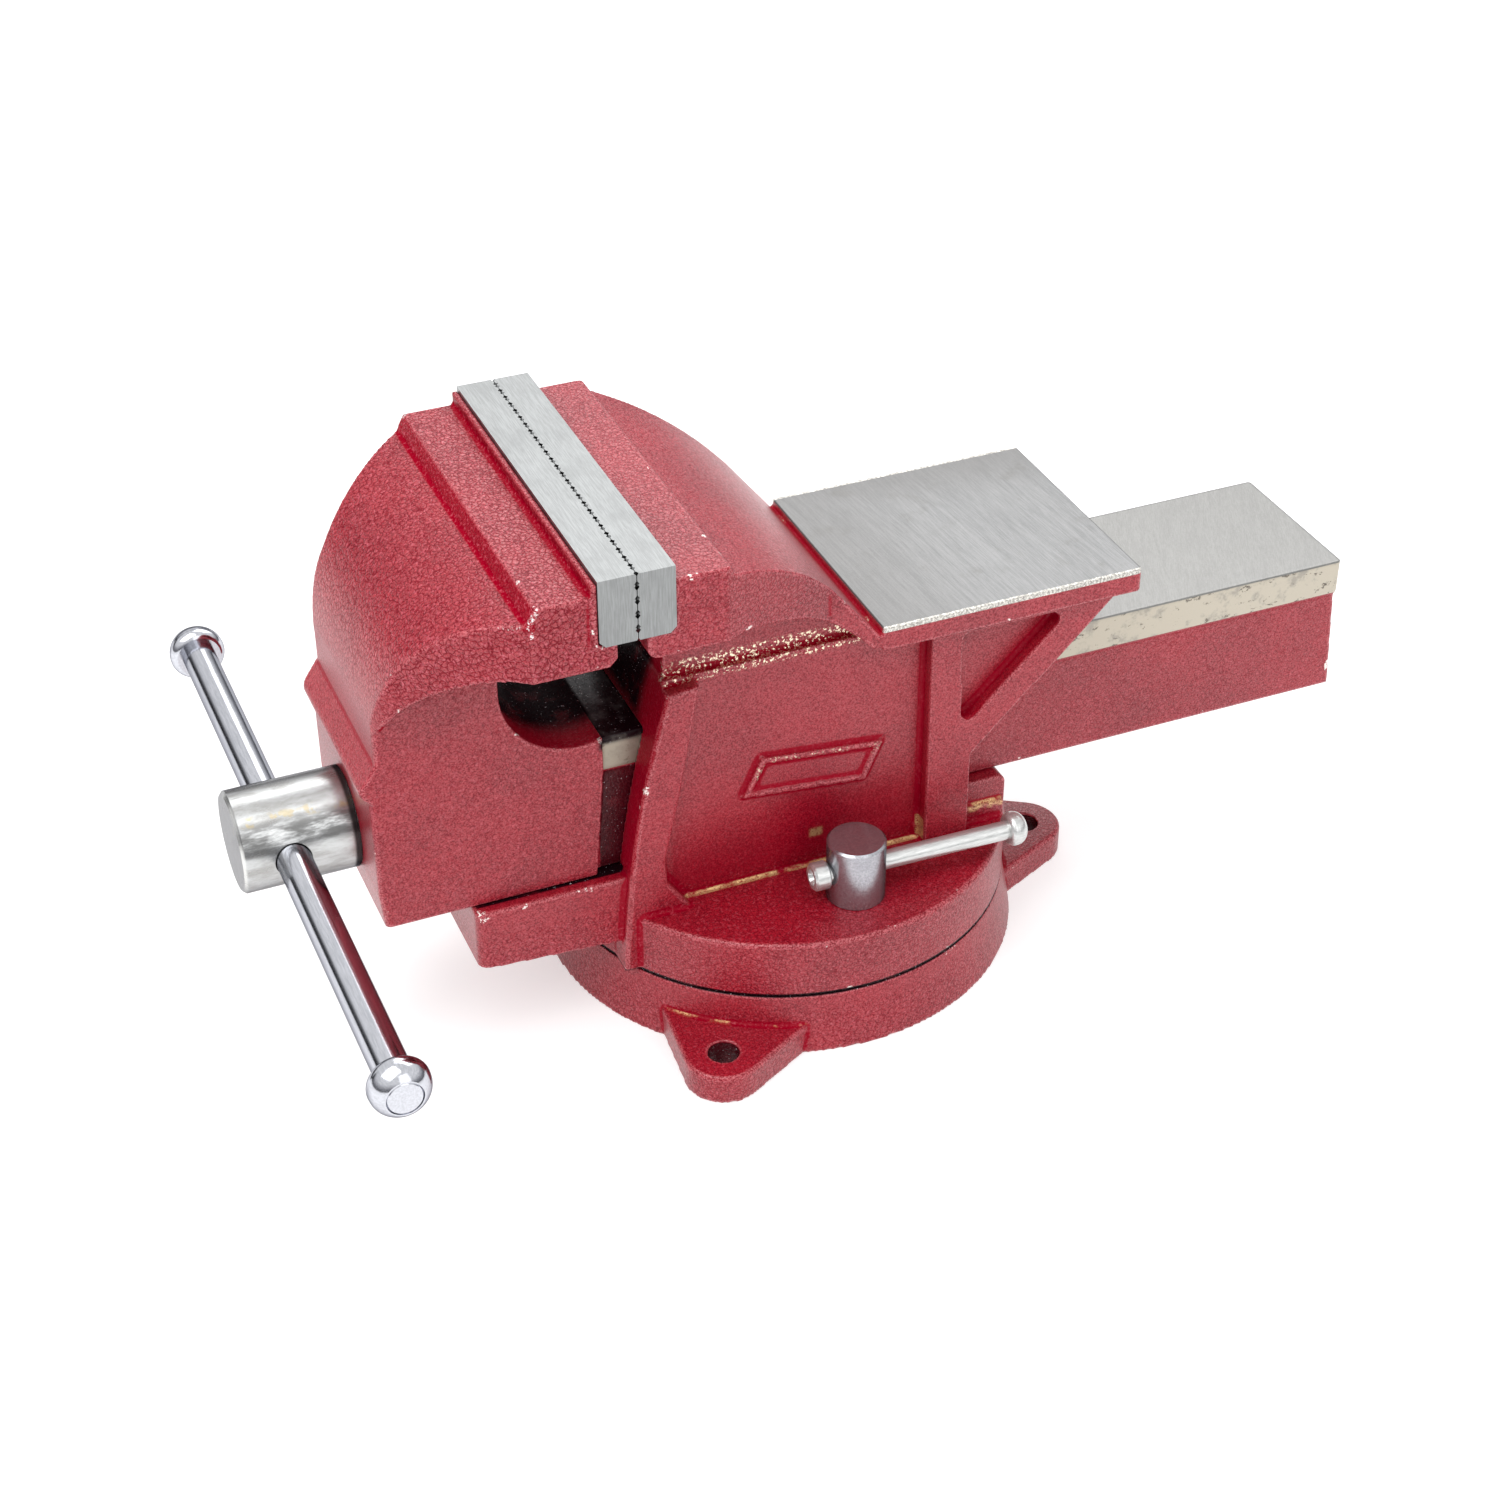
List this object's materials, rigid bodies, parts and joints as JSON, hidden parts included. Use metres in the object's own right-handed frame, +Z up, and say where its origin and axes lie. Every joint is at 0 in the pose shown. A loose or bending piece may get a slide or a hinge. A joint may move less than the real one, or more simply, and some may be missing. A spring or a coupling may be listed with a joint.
{
  "type": "bench vise",
  "caption": "Swivel-base bench vise: sliding front jaw on a square guide bar, drawn by a screw with a sliding handle, a flat anvil behind the rear jaw and lugs for bench bolts.",
  "frame": {"origin": "on the swivel axis, in the plane that rests on the bench", "axes": "+Z up along the swivel axis; -Y towards the handle and the movable jaw, +Y towards the end of the slide bar; +X to the right along the jaws, seen from the handle"},
  "size_m": [0.2912, 0.4446, 0.2161],
  "materials": {
    "red_paint": "hammered red paint on cast iron",
    "ground_steel": "ground hardened steel",
    "screw_steel": "turned steel, lightly greased",
    "chrome": "bright chrome plate",
    "satin_steel": "satin grey plated steel",
    "zinc_steel": "bright zinc plate",
    "black_steel": "black oxide",
    "spring_steel": "oiled spring steel",
    "bare_iron": "bare cast iron"
  },
  "bodies": {
    "base": {"swivel_base": "red_paint"},
    "body": {"vise_body": "red_paint", "rear_jaw_plate": "ground_steel", "rear_plate_screws": "black_steel", "spindle_nut": "bare_iron", "nut_bolts": "black_steel", "nut_bolt_washers": "zinc_steel", "pivot_washer": "zinc_steel", "pivot_bolt": "black_steel", "right_clamp_nut": "bare_iron", "left_clamp_nut": "bare_iron"},
    "jaw": {"movable_jaw": "red_paint", "front_jaw_plate": "ground_steel", "front_plate_screws": "black_steel"},
    "screw": {"spindle": "screw_steel", "thrust_washer": "zinc_steel", "spindle_spring": "spring_steel", "retaining_washer": "zinc_steel", "cotter_pin": "zinc_steel"},
    "handle": {"handle_bar": "chrome", "handle_knob_right": "chrome", "handle_knob_left": "chrome"},
    "right_lock": {"right_lock_bolt": "satin_steel"},
    "right_rod": {"right_lock_rod": "zinc_steel", "right_lock_rod_cap": "zinc_steel", "right_lock_rod_knob": "zinc_steel"},
    "left_lock": {"left_lock_bolt": "satin_steel"},
    "left_rod": {"left_lock_rod": "zinc_steel", "left_lock_rod_cap": "zinc_steel", "left_lock_rod_knob": "zinc_steel"}
  },
  "joints": [
    {"name": "swivel", "type": "hinge", "parent": "base", "child": "body", "pos_m": [0, 0, 0], "axis": [0, 0, 1], "continuous": true},
    {"name": "jaw_slide", "type": "slide", "parent": "body", "child": "jaw", "axis": [0, -1, 0], "range_m": [0, 0.15]},
    {"name": "screw_turn", "type": "hinge", "parent": "jaw", "child": "screw", "pos_m": [0, -0.19, 0.092], "axis": [0, -1, 0], "continuous": true},
    {"name": "handle_slide", "type": "slide", "parent": "screw", "child": "handle", "axis": [1, 0, 0], "range_m": [-0.1243, 0.1053]},
    {"name": "right_lock_turn", "type": "hinge", "parent": "body", "child": "right_lock", "pos_m": [0.0646, 0.0045, 0.0608], "axis": [0, 0, 1], "range_deg": [-180, 5]},
    {"name": "right_rod_slide", "type": "slide", "parent": "right_lock", "child": "right_rod", "axis": [-0.0244, -0.9997, 0], "range_m": [0, 0.0505]},
    {"name": "left_lock_turn", "type": "hinge", "parent": "body", "child": "left_lock", "pos_m": [-0.0646, 0.0045, 0.0608], "axis": [0, 0, 1], "range_deg": [-5, 180]},
    {"name": "left_rod_slide", "type": "slide", "parent": "left_lock", "child": "left_rod", "axis": [0.0244, -0.9997, 0], "range_m": [0, 0.0505]}
  ],
  "couplings": [
    {"joint": "screw_turn", "follows": "jaw_slide", "rad_per_m": 1047.2}
  ]
}
